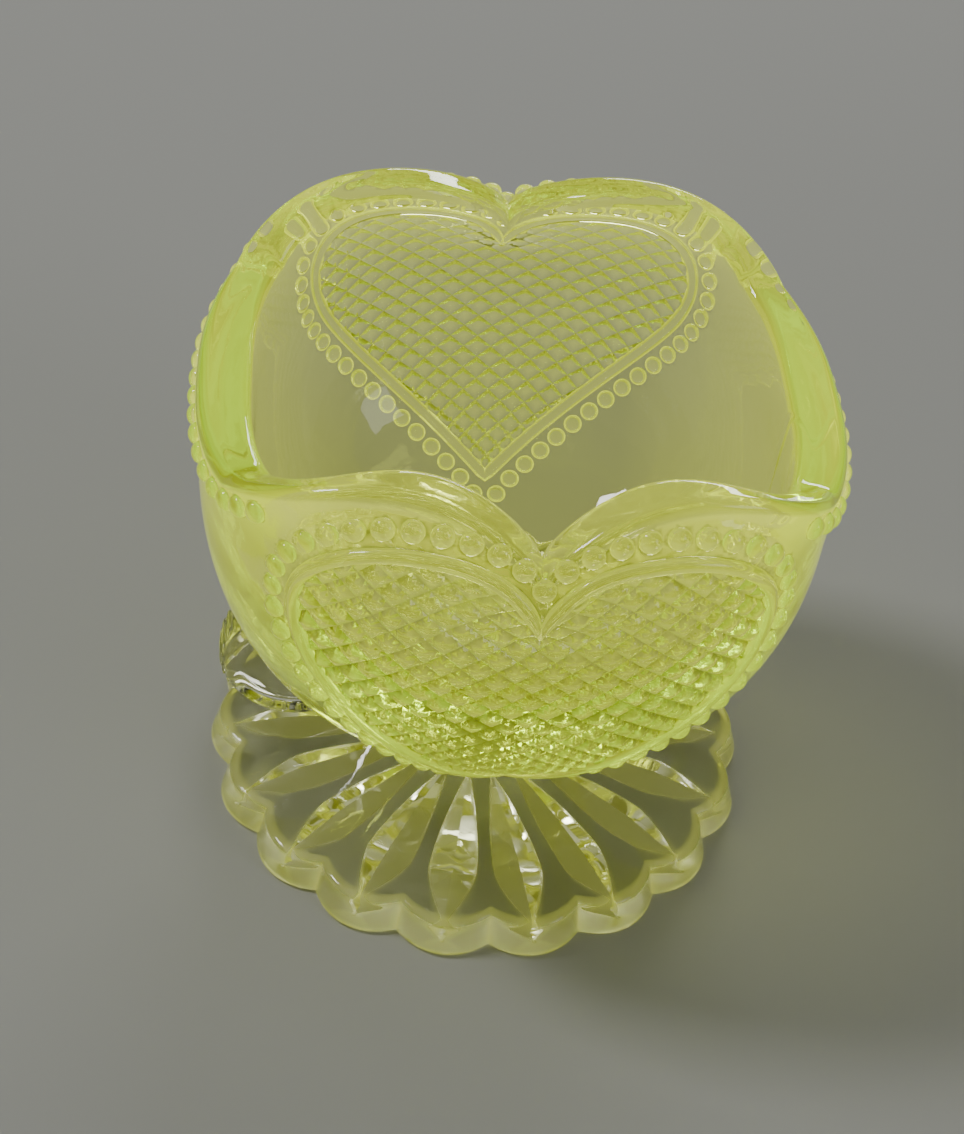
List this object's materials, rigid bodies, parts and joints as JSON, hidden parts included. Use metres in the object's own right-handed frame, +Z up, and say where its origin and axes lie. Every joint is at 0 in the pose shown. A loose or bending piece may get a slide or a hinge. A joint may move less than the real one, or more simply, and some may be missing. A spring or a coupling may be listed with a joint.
{
  "type": "uranium glass footed holder",
  "caption": "Small footed holder of pressed yellow-green uranium glass, with a heart-lobed rim, raised diamond-point hearts and a scalloped, rayed foot.",
  "frame": {"origin": "centre of the flat underside of the foot, on the surface it stands on", "axes": "+Z up through the bowl; the front heart faces -Y and the back heart +Y; the plain sides and the knobs face -X and +X"},
  "size_m": [0.061, 0.0604, 0.0575],
  "materials": {
    "bowl_glass": "fire-polished pressed uranium glass",
    "relief_glass": "pressed relief of the same glass",
    "foot_glass": "fire-polished pressed uranium glass, pale where thin",
    "knob_glass": "fire-polished pressed uranium glass, pale where thin"
  },
  "bodies": {
    "root": {"foot": "foot_glass", "stem": "foot_glass", "bowl": "bowl_glass", "left_knob": "knob_glass", "right_knob": "knob_glass", "front_heart_ridge": "relief_glass", "front_bead_border": "relief_glass", "front_diamond_field": "relief_glass", "back_heart_ridge": "relief_glass", "back_bead_border": "relief_glass", "back_diamond_field": "relief_glass", "left_side_beads": "relief_glass", "right_side_beads": "relief_glass"}
  },
  "joints": []
}
